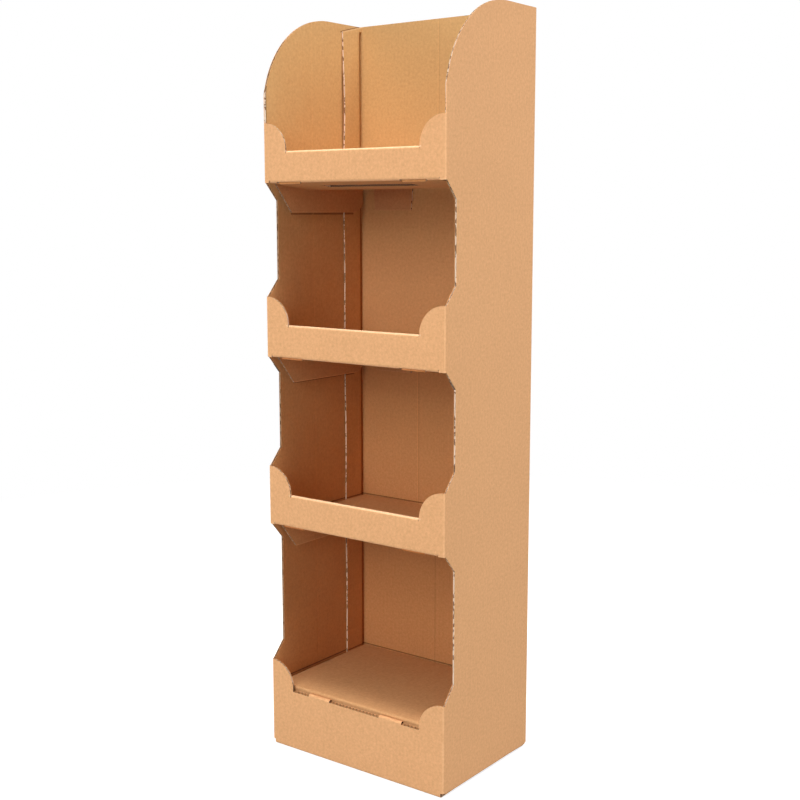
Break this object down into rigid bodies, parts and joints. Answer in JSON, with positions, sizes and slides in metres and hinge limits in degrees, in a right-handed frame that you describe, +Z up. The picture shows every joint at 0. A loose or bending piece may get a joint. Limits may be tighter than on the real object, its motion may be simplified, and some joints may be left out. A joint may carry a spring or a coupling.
{
  "type": "cardboard display stand",
  "caption": "Free-standing corrugated display stand with open tiers, front lips and a rounded crown.",
  "frame": {"origin": "on the floor, under the middle of the stand", "axes": "+Z up; -Y towards the open front; +X towards the right side panel as a shopper sees it"},
  "size_m": [0.4, 0.278, 1.365],
  "materials": {
    "wrap_liner": "matt brown kraft liner",
    "shelf_liner": "matt brown kraft liner"
  },
  "bodies": {
    "root": {"outer_wrap": "wrap_liner", "base_shelf": "shelf_liner", "lower_shelf": "shelf_liner", "middle_shelf": "shelf_liner", "top_shelf": "shelf_liner"}
  },
  "joints": []
}
